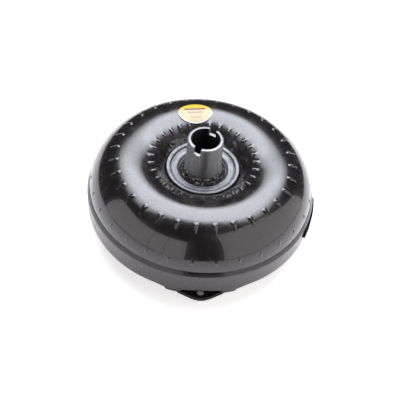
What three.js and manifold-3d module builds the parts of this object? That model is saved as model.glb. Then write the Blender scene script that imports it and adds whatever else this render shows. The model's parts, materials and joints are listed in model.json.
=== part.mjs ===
// A three-element torque converter of the 12 inch class, without a lock-up clutch.
// Millimetres, +Z up. The spin axis is Z. The origin is the centre of the crank pilot's end face, so the
// engine side points down and the pump-drive hub points up.
// Heights in the drawings below are measured from the seam where the impeller shell meets the front cover.

import * as THREE from "three";
import { mergeVertices } from "three/addons/utils/BufferGeometryUtils.js";
import Module from "manifold-3d";

const wasm = await Module();
wasm.setup();

// ---------------------------------------------------------------- driving dimensions
const RAD = Math.PI / 180;
const GAP = 0.3; // between pieces that touch on the real converter
const BIG = 32; // facets round the large turned pieces
const SMALL = 20; // facets round the small ones

const SHEET = 3; // wall of the shell and of the cover
const SHELL = { r: 95, radius: 57.4, skirt: -8, bore: 50.2 }; // round section swept about the axis
const COVER = { r: 155.6, rim: -2, corner: 14, shoulder: -38, face: -47.5, centre: -37.5 };
const PAD = { reach: 150.8, root: 124, bottom: -45.7, spread: 21 * RAD, relief: 9.5 };
const PILOT = { r: 21.63, end: -64 }; // 1.703 in across
const SEAM_HEIGHT = -PILOT.end;

const LUG_TURNS = [0, 120, 240].map((turn) => (turn - 84.2) * RAD);
const LUG = { circle: 146.05, hole: 5.1, top: -46, bottom: -52, tip: 157, nose: 9, flank: 34, inner: 127 };
const WEIGHT = { thickness: 2.2, top: -6, bottom: -20, from: -22 * RAD, to: 3 * RAD };
const LABEL = { r: 86, turn: 102.5 * RAD, halfWidth: 24, halfHeight: 16.5, lift: 0.4, thickness: 0.5 };

const HUB = { r: 23.81, bore: 19.05, top: 90, bottom: 24, chamfer: 1 }; // 1.875 in across
const SLOT = { width: 10.5, depth: 10.5, turn: 65.5 * RAD }; // they drive the oil pump
const FLANGE = { r: 49.4, lip: 43.6, ledge: 36.2, dish: 31, bottom: 24, top: 38.5 };

const IMPELLER = { fins: 31, edge: 9.5, inlet: 54, radius: 52.4, turn: 2.78 * RAD };
const IMPELLER_LEAN = 3.4 * RAD; // how far an impeller fin's inner end turns
const TURBINE = { fins: 27, edge: 6.5, r: 95.5, z: 6, width: 51.5, depth: 47, sheet: 2, inlet: 54 };
const TURBINE_SWEEP = 9 * RAD; // how far a turbine fin's outer end turns
const CORE = { r: 102, z: 8, radius: 25, sheet: 2 }; // rings that close the fins' inner edges
const FIN_SHEET = 1.2;

const SEAT = -18; // top of the turbine shell's flat inner flange
const TURBINE_HUB = { bottom: -29.3, top: -14, barrel: 39, boss: 40, r: 50.4 };
const TURBINE_SPLINE = { teeth: 20, minor: 14.6, major: 16 };
const RIVET = { count: 6, circle: 45.4, r: 3, head: 4.6, height: 2, facets: 8 };

const STATOR = { bottom: -8.5, top: 18.5, floor: -4.8, bore: 40.2, r: 44.5 };
const STATOR_FINS = { count: 15, ringIn: 70, ringOut: 73 };
const CLUTCH = { bottom: -4.5, top: 13.5, race: 25, r: 39.9 };
const ROLLER = { count: 8, r: 4, circle: 29.4, facets: 10 };
const POCKET = { r: 34.1, end: 31 }; // the cam's inner wall at a roller and between rollers
const KEY = { count: 4, reach: 41.3, width: 6, turn: 22.5 * RAD };
const SIDE_BORE = 26; // hole in both sides of the stator
const SNAP = { inner: 37.6, outer: 41.1, bottom: 15.9, top: 17.1, gap: 9 };
const RACE_SPLINE = { teeth: 20, minor: 16.6, major: 17.8 };

const BEARING = { inner: 25, outer: 37, washer: 1, needle: 2, needles: 9 };
const BEARING_BOTTOMS = {
  front: COVER.centre + SHEET + GAP,
  middle: TURBINE_HUB.top + GAP,
  rear: STATOR.top + 2 * GAP,
};

// ---------------------------------------------------------------- materials
const finish = (color, roughness, metalness) =>
  new THREE.MeshStandardMaterial({ color, roughness, metalness });
const BLACK_PAINT = finish(0x17171a, 0.16, 0.2);
const LUG_PAINT = finish(0x101012, 0.35, 0.2);
const TURNED_STEEL = finish(0xa6a8ab, 0.28, 1);
const WELD_STEEL = finish(0x2c2b2b, 0.6, 0.7);
const SHEET_STEEL = finish(0x85888c, 0.4, 1);
const CAST_ALUMINIUM = finish(0xc0c3c6, 0.5, 1);
const BEARING_STEEL = finish(0xcfd1d4, 0.18, 1);
const SPRING_STEEL = finish(0x6f7378, 0.35, 1);
const LABEL_YELLOW = finish(0xe9bd2e, 0.4, 0);

// ---------------------------------------------------------------- solids
// A geometry as a solid. Triangles that shrink to a line on the axis are left out.
function solid(geometry) {
  const bare = geometry.clone();
  bare.deleteAttribute("normal");
  bare.deleteAttribute("uv");
  const merged = mergeVertices(bare, 1e-4);
  const index = merged.index.array;
  const kept = [];
  for (let i = 0; i < index.length; i += 3) {
    const [a, b, c] = [index[i], index[i + 1], index[i + 2]];
    if (a !== b && b !== c && c !== a) kept.push(a, b, c);
  }
  const vertProperties = merged.attributes.position.array;
  return new wasm.Manifold(new wasm.Mesh({ numProp: 3, vertProperties, triVerts: new Uint32Array(kept) }));
}

// A solid as a geometry.
function geometryOf(body) {
  const mesh = body.getMesh();
  const positions = new THREE.BufferAttribute(new Float32Array(mesh.vertProperties), 3);
  return new THREE.BufferGeometry().setAttribute("position", positions).setIndex([...mesh.triVerts]);
}

// A closed outline of [radius, height] points, in either order, turned about Z.
function turned(outline, facets = BIG) {
  const area = outline.reduce((sum, [r, z], i) => {
    const [nextR, nextZ] = outline[(i + 1) % outline.length];
    return sum + r * nextZ - nextR * z;
  }, 0);
  const ordered = area > 0 ? [...outline] : [...outline].reverse();
  const points = [...ordered, ordered[0]].map(([r, z]) => new THREE.Vector2(r, z));
  return solid(new THREE.LatheGeometry(points, facets).rotateX(Math.PI / 2));
}

const ring = (inner, outer, bottom, top, facets = BIG) =>
  turned([[inner, bottom], [outer, bottom], [outer, top], [inner, top]], facets);

const disc = (r, bottom, top, facets = SMALL) =>
  turned([[0, bottom], [r, bottom], [r, top], [0, top]], facets);

// A flat shape, or an outline of [x, y] points, given thickness between two heights.
function slab(flat, bottom, top) {
  const drawn = (points) => new THREE.Shape(points.map(([x, y]) => new THREE.Vector2(x, y)));
  const shape = flat instanceof THREE.Shape ? flat : drawn(flat);
  const settings = { depth: top - bottom, bevelEnabled: false, curveSegments: 4 };
  return new THREE.ExtrudeGeometry(shape, settings).translate(0, 0, bottom);
}

// Points on an arc or half ellipse: centre, radii, first and last angle in degrees, number of steps.
function arc([r, z], [width, depth], from, to, steps) {
  return Array.from({ length: steps + 1 }, (_, i) => {
    const turn = (from + ((to - from) * i) / steps) * RAD;
    return [r + width * Math.cos(turn), z + depth * Math.sin(turn)];
  });
}

const polar = (r, turn) => [r * Math.cos(turn), r * Math.sin(turn)];
const turnedBy = (body, turn) => body.rotate([0, 0, turn / RAD]);
const around = (count, make) => Array.from({ length: count }, (_, i) => make((i * 2 * Math.PI) / count));
const joined = (bodies) => bodies.reduce((sum, body) => sum.add(body));
const cut = (body, tools) => tools.reduce((rest, tool) => rest.subtract(tool), body);
const degreesAt = (reach, radius) => Math.acos(reach / radius) / RAD;

// Stands a flat slab up: its x runs along the tangent, its y up, and its thickness outwards.
function stoodOut(geometry) {
  const tangent = new THREE.Vector3(0, 1, 0);
  const up = new THREE.Vector3(0, 0, 1);
  const outwards = new THREE.Vector3(1, 0, 0);
  return geometry.applyMatrix4(new THREE.Matrix4().makeBasis(tangent, up, outwards));
}

// A toothed prism that cuts a splined bore.
function spline({ teeth, minor, major }, bottom, top) {
  const step = (2 * Math.PI) / teeth;
  const tooth = [[major, 0.08], [major, 0.42], [minor, 0.55], [minor, 0.95]];
  const points = around(teeth, (turn) => tooth.map(([r, share]) => polar(r, turn + share * step))).flat();
  return solid(slab(points, bottom, top));
}

// ---------------------------------------------------------------- housing
function impellerShell() {
  const inside = SHELL.radius - SHEET;
  const wall = (radius) => {
    const end = degreesAt(SHELL.bore - SHELL.r, radius);
    return arc([SHELL.r, 0], [radius, radius], 0, end, 8);
  };
  return turned([
    [SHELL.r + inside, SHELL.skirt],
    [SHELL.r + SHELL.radius, SHELL.skirt],
    ...wall(SHELL.radius),
    ...wall(inside).reverse(),
  ]);
}

function hubFlange() {
  const { r, lip, ledge, dish, bottom, top } = FLANGE;
  const bore = HUB.r + GAP;
  const plate = 31.6;
  return turned([
    [bore, bottom],
    [40, bottom],
    [r, plate - 1],
    [r, top - 1],
    [r - 1, top],
    [lip, top],
    [lip - 1.4, top - 2.6],
    [ledge, top - 2.6],
    [ledge - 1, top - 4.6],
    [dish, plate],
    [bore, plate],
  ]);
}

function pumpDriveHub() {
  const { r, bore, top, bottom, chamfer } = HUB;
  const tube = turned([
    [bore, bottom],
    [r, bottom],
    [r, top - chamfer],
    [r - chamfer, top],
    [bore + chamfer, top],
    [bore, top - chamfer],
  ]);
  const slots = new THREE.BoxGeometry(3 * r, SLOT.width, 2 * SLOT.depth).translate(0, 0, top);
  return tube.subtract(turnedBy(solid(slots), SLOT.turn));
}

function hubWeldBead() {
  const inner = HUB.r + GAP;
  return turned([[inner, 31.9], [30.4, 31.9], [29.6, 34.2], [27.2, 37.6], [25.2, 40], [inner, 40.2]]);
}

function closureWeldBead() {
  const inner = SHELL.r + SHELL.radius + GAP;
  const seat = COVER.rim + GAP;
  return turned([[inner, seat], [155.2, seat], [155, -0.6], [154, 0.4], [inner, 0.8]]);
}

// The cover's outside from its rim to the dished middle, moved in by a wall thickness for the inside.
function coverOutline(wall) {
  const corner = COVER.corner - wall;
  return [
    [COVER.r - wall, COVER.rim + wall],
    ...arc([COVER.r - COVER.corner, COVER.shoulder + COVER.corner], [corner, corner], 0, -90, 4),
    [132, COVER.shoulder + wall],
    [112, COVER.face + wall],
    [78, COVER.face + wall],
    [62, COVER.centre + wall],
    [0, COVER.centre + wall],
    [0, COVER.rim + wall],
  ];
}

// A stamped pad that carries a lug, with room round the end of the lug's bolt.
function coverPad(turn) {
  const { reach, root, bottom, spread, relief } = PAD;
  const shape = new THREE.Shape();
  shape.moveTo(...polar(root, -spread));
  shape.lineTo(...polar(reach - 9, -spread));
  shape.absarc(0, 0, reach, -spread + 4 * RAD, spread - 4 * RAD, false);
  shape.lineTo(...polar(reach - 9, spread));
  shape.lineTo(...polar(root, spread));
  const pad = solid(slab(shape, bottom, COVER.shoulder + COVER.corner / 2));
  const room = disc(relief, bottom - 1, COVER.shoulder + GAP).translate([LUG.circle, 0, 0]);
  return turnedBy(pad.subtract(room), turn);
}

function frontCover() {
  const outside = joined([turned(coverOutline(0)), ...LUG_TURNS.map(coverPad)]);
  const spigot = disc(PILOT.r + 0.4, COVER.centre - 1, COVER.centre + SHEET + 1, BIG);
  return cut(outside, [turned(coverOutline(SHEET)), spigot]);
}

function crankPilot() {
  const { r, end } = PILOT;
  const shoulder = COVER.centre - GAP;
  const collar = r + 4;
  return turned([
    [0, end],
    [r - 2, end],
    [r, end + 2],
    [r, shoulder - 8],
    [collar, shoulder - 4],
    [collar, shoulder],
    [r, shoulder],
    [r, COVER.centre + SHEET],
    [0, COVER.centre + SHEET],
  ], SMALL);
}

// A rounded triangular plate with one bolt hole.
function flexplateLug(turn) {
  const { tip, nose, flank, inner, bottom, top, circle, hole } = LUG;
  const shape = new THREE.Shape();
  shape.moveTo(inner, -flank + 8);
  shape.lineTo(142, -flank);
  shape.quadraticCurveTo(144, -flank + 1, 144.5, -flank + 3);
  shape.lineTo(155.2, -nose);
  shape.quadraticCurveTo(tip + 1.4, 0, 155.2, nose);
  shape.lineTo(144.5, flank - 3);
  shape.quadraticCurveTo(144, flank - 1, 142, flank);
  shape.lineTo(inner, flank - 8);
  const bore = disc(hole, bottom - 1, top + 1).translate([circle, 0, 0]);
  return turnedBy(solid(slab(shape, bottom, top)).subtract(bore), turn);
}

// A strip bent round the cover's wall.
function balanceWeight() {
  const inner = COVER.r + GAP;
  const strip = ring(inner, inner + WEIGHT.thickness, WEIGHT.bottom, WEIGHT.top);
  const wedge = [[0, 0], polar(200, WEIGHT.from), polar(200, WEIGHT.to)];
  return strip.intersect(solid(slab(wedge, WEIGHT.bottom - 1, WEIGHT.top + 1)));
}

// A thin oval sticker that follows the shell's round top.
function label() {
  const { r, turn, halfWidth, halfHeight, lift, thickness } = LABEL;
  const layer = (radius) => arc([SHELL.r, 0], [radius, radius], 65, 130, 6);
  const under = SHELL.radius + lift;
  const skin = turned([...layer(under + thickness), ...layer(under).reverse()]);
  const oval = new THREE.Shape().absellipse(r, 0, halfHeight, halfWidth, 0, 2 * Math.PI);
  return skin.intersect(turnedBy(solid(slab(oval, 30, 70)), turn));
}

// ---------------------------------------------------------------- fins
// Turns each point about Z by an angle that depends on its radius.
function swept(geometry, turnAt) {
  const position = geometry.attributes.position;
  for (let i = 0; i < position.count; i += 1) {
    const [x, y] = [position.getX(i), position.getY(i)];
    const turn = Math.atan2(y, x) + turnAt(Math.hypot(x, y));
    position.setXY(i, ...polar(Math.hypot(x, y), turn));
  }
  return geometry;
}

// A sheet fin drawn as [radius, height] points and stood on edge.
function fin(outline, turnAt) {
  const sheet = slab(outline, -FIN_SHEET / 2, FIN_SHEET / 2).rotateX(Math.PI / 2);
  return solid(swept(sheet, turnAt));
}

const coreArc = (radius, from, to, steps) => arc([CORE.r, CORE.z], [radius, radius], from, to, steps);

// Corners of a core half's round section, in degrees from its outer edge to its inner one.
const CORE_CORNERS = [3, 32.4, 61.8, 91.2, 120.6, 150];

// One half of the core: a curved ring with a flat for each fin. side is 1 above the middle, -1 below.
function coreRing(fins, side, turn) {
  const layer = (radius) => CORE_CORNERS.map((angle) => coreArc(radius, side * angle, 0, 1)[0]);
  const outline = [...layer(CORE.radius), ...layer(CORE.radius - CORE.sheet).reverse()];
  return turnedBy(turned(outline, fins), turn);
}

// The edge of a fin that faces the core, with a tab let into the core's sheet.
function coreEdge(side) {
  const clear = CORE.radius + 2 * GAP;
  const tab = CORE.radius - CORE.sheet / 2;
  const at = (radius, angle) => coreArc(radius, side * angle, 0, 1)[0];
  const [, outer, low, high, ...inner] = CORE_CORNERS;
  return [
    ...inner.reverse().map((angle) => at(clear, angle)),
    at(clear, high),
    at(clear, 80),
    at(tab, 80),
    at(tab, 72),
    at(clear, 72),
    at(clear, low),
    at(clear, outer),
  ];
}

function impellerFins() {
  const { fins, edge, inlet, radius, turn } = IMPELLER;
  const start = Math.asin(edge / radius) / RAD;
  const outline = [
    ...arc([SHELL.r, 0], [radius, radius], start, degreesAt(inlet - SHELL.r, radius), 5),
    [inlet + 1, 25],
    ...coreEdge(1),
    [CORE.r + CORE.radius + 2 * GAP, edge],
  ];
  const lean = (r) => IMPELLER_LEAN * Math.min(1, Math.max(0, (114 - r) / 44));
  const blade = fin(outline, lean);
  const blades = around(fins, (step) => turnedBy(blade, turn + step));
  return joined([coreRing(fins, 1, turn + Math.PI / fins), ...blades]);
}

// ---------------------------------------------------------------- turbine
const rivetAt = (body, turn) => turnedBy(body.translate([RIVET.circle, 0, 0]), turn);
const rivetHoles = () => {
  const hole = disc(RIVET.r + GAP, SEAT - 4, TURBINE_HUB.top + 1, RIVET.facets);
  return around(RIVET.count, (turn) => rivetAt(hole, turn));
};

function turbineShell() {
  const { r, z, width, depth, sheet } = TURBINE;
  const bowl = (wall, height) => {
    const [w, d] = [width - wall, depth - wall];
    const end = -180 + Math.asin((z - height) / d) / RAD;
    return arc([r, z], [w, d], 0, end, 7);
  };
  const under = SEAT - sheet;
  const bore = TURBINE_HUB.boss + 0.6;
  const outline = [...bowl(0, under), [bore, under], [bore, SEAT], ...bowl(sheet, SEAT).reverse()];
  return cut(turned(outline), rivetHoles());
}

function turbineFins() {
  const { fins, edge, r, z, width, depth, sheet, inlet } = TURBINE;
  const [w, d] = [width - sheet - 1.5, depth - sheet - 1.2];
  const outline = [
    ...arc([r, z], [w, d], 0, -degreesAt(inlet - r, w), 5),
    [inlet + 1, -15],
    [74, -13],
    ...coreEdge(-1),
    [CORE.r + CORE.radius + 2 * GAP, edge - 0.5],
    [r + w, edge - 0.2],
  ];
  const sweep = (reach) => TURBINE_SWEEP * ((reach - inlet) / 90) ** 2;
  const blade = fin(outline, sweep);
  const blades = around(fins, (step) => turnedBy(blade, step));
  return joined([coreRing(fins, -1, Math.PI / fins), ...blades]);
}

function turbineHub() {
  const { bottom, top, barrel, boss, r } = TURBINE_HUB;
  const bore = TURBINE_SPLINE.minor - 2;
  const body = turned([
    [bore, bottom],
    [barrel, bottom],
    [boss, bottom + 1],
    [boss, SEAT + GAP],
    [r, SEAT + GAP],
    [r, top],
    [bore, top],
  ]);
  return cut(body, [spline(TURBINE_SPLINE, bottom - 1, top + 1), ...rivetHoles()]);
}

function rivet(turn) {
  const { r, head, height, facets } = RIVET;
  const under = SEAT - TURBINE.sheet - GAP;
  const over = TURBINE_HUB.top + GAP;
  const outline = [
    [0, under - height],
    [head - 1.2, under - height],
    [head, under],
    [r, under],
    [r, over],
    [head, over],
    [head - 1.2, over + height],
    [0, over + height],
  ];
  return rivetAt(turned(outline, facets), turn);
}

// ---------------------------------------------------------------- stator and its one-way clutch
// Four bars that stop the cam from turning in the stator; extra makes their slots.
const keys = (extra) =>
  around(KEY.count, (turn) => {
    const half = KEY.width / 2 + extra;
    const [root, reach] = [CLUTCH.r - 3, KEY.reach + extra];
    const bar = [[root, -half], [reach, -half], [reach, half], [root, half]];
    const top = extra ? STATOR.top + 1 : CLUTCH.top;
    return turnedBy(solid(slab(bar, CLUTCH.bottom - extra, top)), turn + KEY.turn);
  });

// A curved blade with a thick nose below and a thin tail above, between the hub and the outer ring.
function statorBlade() {
  const section = new THREE.Shape();
  section.moveTo(-8.5, -3.5);
  section.quadraticCurveTo(-7.6, -7.2, -3.5, -6.8);
  section.quadraticCurveTo(4.5, 0, 7, 15.5);
  section.lineTo(6, 16.5);
  section.quadraticCurveTo(0.5, 4, -8.5, -3.5);
  return solid(stoodOut(slab(section, STATOR.bore + 2.6, STATOR_FINS.ringIn + 1)));
}

function statorWheel() {
  const { bottom, top, floor, bore, r } = STATOR;
  const { count, ringIn, ringOut } = STATOR_FINS;
  const cup = [[r, bottom], [r, top], [bore, top], [bore, floor]];
  const hub = turned([[SIDE_BORE, bottom], ...cup, [SIDE_BORE, floor]]);
  const blade = statorBlade();
  const blades = around(count, (turn) => turnedBy(blade, turn));
  const wheel = joined([hub, ...blades, ring(ringIn, ringOut, bottom + 0.5, top - 0.5)]);
  const groove = ring(bore - 1, SNAP.outer + GAP, SNAP.bottom - GAP, SNAP.top + GAP);
  return cut(wheel, [groove, ...keys(GAP)]);
}

// The cam: each pocket is deepest at its roller and narrows away from it.
function statorCam() {
  const share = (2 * Math.PI) / ROLLER.count;
  const { r, end } = POCKET;
  const wall = [[end, -0.2], [r, -0.14], [r + 0.2, 0.02], [r - 0.3, 0.16], [end + 1.2, 0.34], [end, 0.42]];
  const pocket = (turn) => wall.map(([reach, part]) => polar(reach, turn + part * share));
  const points = around(ROLLER.count, pocket).flat();
  const body = joined([ring(end - 3, CLUTCH.r, CLUTCH.bottom, CLUTCH.top), ...keys(0)]);
  return body.subtract(solid(slab(points, CLUTCH.bottom - 1, CLUTCH.top + 1)));
}

function roller(turn) {
  const pin = disc(ROLLER.r, CLUTCH.bottom + GAP, CLUTCH.top - GAP, ROLLER.facets);
  return turnedBy(pin.translate([ROLLER.circle, 0, 0]), turn);
}

// A folded strip that pushes its roller up the ramp.
function energizingSpring(turn) {
  const [inner, outer, strip] = [26, 30.2, 0.65];
  const side = (offset) =>
    Array.from({ length: 5 }, (_, i) => polar((i % 2 ? outer : inner) + offset, (9.2 + i * 2.9) * RAD));
  const shape = [...side(0), ...side(strip).reverse()];
  return turnedBy(solid(slab(shape, CLUTCH.bottom + 3, CLUTCH.top - 3)), turn);
}

function statorInnerRace() {
  const race = ring(RACE_SPLINE.minor - 2, CLUTCH.race, STATOR.bottom, STATOR.top);
  return race.subtract(spline(RACE_SPLINE, STATOR.bottom - 1, STATOR.top + 1));
}

function clutchRetainer() {
  const bottom = CLUTCH.top + GAP;
  const shoulder = SNAP.bottom - GAP;
  const neck = SNAP.inner - GAP;
  return turned([
    [SIDE_BORE, bottom],
    [CLUTCH.r, bottom],
    [CLUTCH.r, shoulder],
    [neck, shoulder],
    [neck, STATOR.top],
    [SIDE_BORE, STATOR.top],
  ]);
}

function snapRing() {
  const gap = new THREE.BoxGeometry(10, SNAP.gap, 10).translate(SNAP.outer, 0, SNAP.top);
  return ring(SNAP.inner, SNAP.outer, SNAP.bottom, SNAP.top).subtract(solid(gap));
}

// ---------------------------------------------------------------- thrust bearings
const washer = (bottom) => ring(BEARING.inner, BEARING.outer, bottom, bottom + BEARING.washer, SMALL);

// A flat cage with the needles set in it like spokes.
function needleCage(middle) {
  const { inner, outer, needle, needles } = BEARING;
  const cage = ring(inner + 1, outer - 1, middle - 0.4, middle + 0.4, SMALL);
  const pin = new THREE.CylinderGeometry(needle / 2, needle / 2, 8, 6)
    .rotateZ(Math.PI / 2)
    .translate((inner + outer) / 2, 0, middle);
  const spoke = solid(pin);
  return joined([cage, ...around(needles, (turn) => turnedBy(spoke, turn))]);
}

// ---------------------------------------------------------------- assembly
const converter = new THREE.Group();
converter.position.z = SEAM_HEIGHT;

function place(name, body, material) {
  const mesh = new THREE.Mesh(geometryOf(body), material.clone());
  mesh.name = name;
  converter.add(mesh);
}

const placeEach = (name, bodies, material) =>
  bodies.forEach((body, i) => place(`${name}_${i + 1}`, body, material));

place("impeller_shell", impellerShell(), BLACK_PAINT);
place("front_cover", frontCover(), BLACK_PAINT);
place("closure_weld_bead", closureWeldBead(), BLACK_PAINT);
place("balance_weight", balanceWeight(), BLACK_PAINT);
placeEach("flexplate_lug", LUG_TURNS.map(flexplateLug), LUG_PAINT);
place("label", label(), LABEL_YELLOW);
place("hub_flange", hubFlange(), TURNED_STEEL);
place("pump_drive_hub", pumpDriveHub(), TURNED_STEEL);
place("hub_weld_bead", hubWeldBead(), WELD_STEEL);
place("crank_pilot", crankPilot(), TURNED_STEEL);
place("impeller_fins", impellerFins(), SHEET_STEEL);

place("turbine_shell", turbineShell(), SHEET_STEEL);
place("turbine_fins", turbineFins(), SHEET_STEEL);
place("turbine_hub", turbineHub(), TURNED_STEEL);
placeEach("turbine_rivet", around(RIVET.count, rivet), SHEET_STEEL);

place("stator_wheel", statorWheel(), CAST_ALUMINIUM);
place("stator_cam", statorCam(), TURNED_STEEL);
place("stator_inner_race", statorInnerRace(), BEARING_STEEL);
placeEach("clutch_roller", around(ROLLER.count, roller), BEARING_STEEL);
placeEach("clutch_spring", around(ROLLER.count, energizingSpring), SPRING_STEEL);
place("clutch_retainer", clutchRetainer(), TURNED_STEEL);
place("snap_ring", snapRing(), SPRING_STEEL);

for (const [name, bottom] of Object.entries(BEARING_BOTTOMS)) {
  const { washer: thickness, needle } = BEARING;
  place(`${name}_bearing_lower_race`, washer(bottom), BEARING_STEEL);
  place(`${name}_bearing_needle_cage`, needleCage(bottom + thickness + GAP + needle / 2), BEARING_STEEL);
  place(`${name}_bearing_upper_race`, washer(bottom + thickness + needle + 2 * GAP), BEARING_STEEL);
}

export default new THREE.Group().add(converter);
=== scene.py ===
import json
import math

import bmesh
import bpy
import numpy as np
from mathutils import Matrix, Vector, noise


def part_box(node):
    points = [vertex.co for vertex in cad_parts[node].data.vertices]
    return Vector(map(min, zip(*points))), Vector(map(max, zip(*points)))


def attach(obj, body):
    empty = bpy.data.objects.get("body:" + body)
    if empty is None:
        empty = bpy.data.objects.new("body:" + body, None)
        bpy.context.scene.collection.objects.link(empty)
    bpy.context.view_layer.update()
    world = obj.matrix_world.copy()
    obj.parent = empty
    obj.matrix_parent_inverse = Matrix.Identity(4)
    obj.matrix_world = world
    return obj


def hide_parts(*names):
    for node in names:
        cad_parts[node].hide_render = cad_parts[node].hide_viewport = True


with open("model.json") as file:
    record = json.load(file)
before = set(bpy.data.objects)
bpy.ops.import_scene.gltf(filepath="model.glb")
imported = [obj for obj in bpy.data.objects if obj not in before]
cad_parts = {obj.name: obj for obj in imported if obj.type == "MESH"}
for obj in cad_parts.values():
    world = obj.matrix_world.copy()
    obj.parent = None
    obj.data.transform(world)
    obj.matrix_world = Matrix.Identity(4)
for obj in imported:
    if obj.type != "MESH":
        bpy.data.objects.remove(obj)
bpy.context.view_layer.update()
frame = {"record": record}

MM = 0.001

# ------------------------------------------------------------------ places taken from the frame
# Lengths are in millimetres, angles in degrees, and heights are from the seam between shell and cover.
LOW, HIGH = 0, 1


def edge(node, side, axis):
    """One coordinate of a CAD node's box, in millimetres."""
    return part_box(node)[side]["xyz".index(axis)] / MM


SEAM = edge("front_cover", HIGH, "z") + 2
SHELL_R = edge("impeller_shell", HIGH, "x")
CROWN = edge("impeller_shell", HIGH, "z") - SEAM
TORUS_R = SHELL_R - CROWN
SKIRT = edge("impeller_shell", LOW, "z") - SEAM
SHEET = 3
SHELL_BORE = 50.2
COVER_R = edge("front_cover", HIGH, "x")
COVER_RIM = edge("front_cover", HIGH, "z") - SEAM
COVER_FACE = edge("front_cover", LOW, "z") - SEAM
COVER_CENTRE = -37.5
HUB_R = edge("pump_drive_hub", HIGH, "x")
HUB_BOTTOM = edge("pump_drive_hub", LOW, "z") - SEAM
HUB_TOP = edge("pump_drive_hub", HIGH, "z") - SEAM
HUB_BORE = 19.05
FLANGE_R = edge("hub_flange", HIGH, "x")
FLANGE_BOTTOM = edge("hub_flange", LOW, "z") - SEAM
FLANGE_TOP = edge("hub_flange", HIGH, "z") - SEAM
LUG_BOTTOM = edge("flexplate_lug_1", LOW, "z") - SEAM
LUG_TOP = edge("flexplate_lug_1", HIGH, "z") - SEAM
PILOT_R = 21.63
WEIGHT_R = edge("balance_weight", HIGH, "x")
WEIGHT_TOP = edge("balance_weight", HIGH, "z") - SEAM
WEIGHT_BOTTOM = edge("balance_weight", LOW, "z") - SEAM

FINS = 31
PITCH = 360 / FINS
FIN_PHASE = 2.78  # where the outer row of fin tabs starts
INNER_LEAD = 3.4  # how far the inner row of fin tabs is turned on
LUG_TURNS = [-84.2, 35.8, 155.8]
LUG_CIRCLE = 146.05  # radius of the circle of bolt holes
LUG_HOLE = 5.1
SLOT = {"turn": 65.5, "width": 10.5, "depth": 10.5}
WEIGHT_SPAN = (-22, 3)
LABEL = {"r": 86, "turn": 102.5, "wide": 24, "high": 16.5}  # an oval's centre and its half sizes

CORE, CORE_R = (102, 8), 25  # the round section of the rings inside the fins
TURBINE, TURBINE_FINS = (95.5, 6), 27  # the centre of the turbine shell's oval section
RIVETS = 6
TURBINE_BORE, RACE_BORE, SPLINE_TEETH = 14.6, 16.6, 20
STATOR_BLADES = 15
STATOR_FLOOR = -4.8  # bottom of the pocket that holds the clutch
ROLLERS = 8
CAM_BORE, CAM_R = 31, 39.9
BEARING_BORE, BEARING_R = 25, 37
NEEDLES = 36


# ------------------------------------------------------------------ mesh helpers
def smooth(low, high, value):
    """0 below low, 1 above high, with a smooth change between them."""
    t = np.clip((value - low) / (high - low), 0, 1)
    return t * t * (3 - 2 * t)


def finished(name, mesh, sharp=35):
    """Cleans a mesh, marks its sharp edges and puts it in the scene."""
    bm = bmesh.new()
    bm.from_mesh(mesh)
    bmesh.ops.remove_doubles(bm, verts=bm.verts, dist=1e-7)
    bmesh.ops.recalc_face_normals(bm, faces=bm.faces)
    for face in bm.faces:
        face.smooth = True
    for join in bm.edges:
        join.smooth = not (join.is_manifold and join.calc_face_angle(0) > math.radians(sharp))
    bm.to_mesh(mesh)
    bm.free()
    piece = bpy.data.objects.new(name, mesh)
    bpy.context.scene.collection.objects.link(piece)
    return piece


def skin(name, grid, wrap=True, sharp=35):
    """A closed piece from points [turn][outline] in millimetres from the seam's centre."""
    points = np.asarray(grid, float) + (0, 0, SEAM)
    rows, columns = points.shape[:2]
    i, j = np.meshgrid(np.arange(rows if wrap else rows - 1), np.arange(columns), indexing="ij")
    i, j = i.ravel(), j.ravel()
    after, beside = (i + 1) % rows, (j + 1) % columns
    corners = [i * columns + j, after * columns + j, after * columns + beside, i * columns + beside]
    faces = np.stack(corners, -1).tolist()
    if not wrap:
        last = (rows - 1) * columns
        faces += [list(range(columns))[::-1], list(range(last, last + columns))]
    mesh = bpy.data.meshes.new(name)
    mesh.from_pydata((points.reshape(-1, 3) * MM).tolist(), [], faces)
    return finished(name, mesh, sharp)


def spun(r, z, turns):
    """Points from arrays of radius and height, [turn][outline], and turns."""
    angle = np.radians(np.asarray(turns, float))[:, None]
    r, z = np.broadcast_arrays(r + 0 * angle, z + 0 * angle)
    return np.stack([r * np.cos(angle), r * np.sin(angle), z], -1)


def rounded(corners, steps=4):
    """A closed outline from (radius, height, rounding) corners."""
    points = []
    for k, (r, z, size) in enumerate(corners):
        here = np.array([r, z], float)
        if not size:
            points.append(here)
            continue
        ends = []
        for other in (corners[k - 1], corners[(k + 1) % len(corners)]):
            side = np.array(other[:2], float) - here
            length = np.linalg.norm(side)
            ends.append(here + side / length * min(size, 0.49 * length))
        for t in np.linspace(0, 1, steps + 1):
            points.append((1 - t) ** 2 * ends[0] + 2 * t * (1 - t) * here + t * t * ends[1])
    return np.array(points)


def all_round(count):
    return np.arange(count) * 360 / count


def revolve(name, corners, count=192):
    r, z = rounded(corners).T
    return skin(name, spun(r, z, all_round(count)))


def baked(piece):
    """Applies a piece's modifiers."""
    graph = bpy.context.evaluated_depsgraph_get()
    mesh = bpy.data.meshes.new_from_object(piece.evaluated_get(graph))
    name = piece.name
    bpy.data.objects.remove(piece)
    return finished(name, mesh)


def turned_grain(points, scale, depth):
    """Smooth random lengths, in millimetres, for an array of points."""
    flat = points.reshape(-1, 3) / scale
    values = [noise.noise(Vector(p)) for p in flat]
    return depth * np.array(values).reshape(points.shape[:-1])


# ------------------------------------------------------------------ shell
def tab_offset(turns, lead):
    """The angle from each turn to the nearest fin tab."""
    return (turns - FIN_PHASE - lead + PITCH / 2) % PITCH - PITCH / 2


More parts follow.
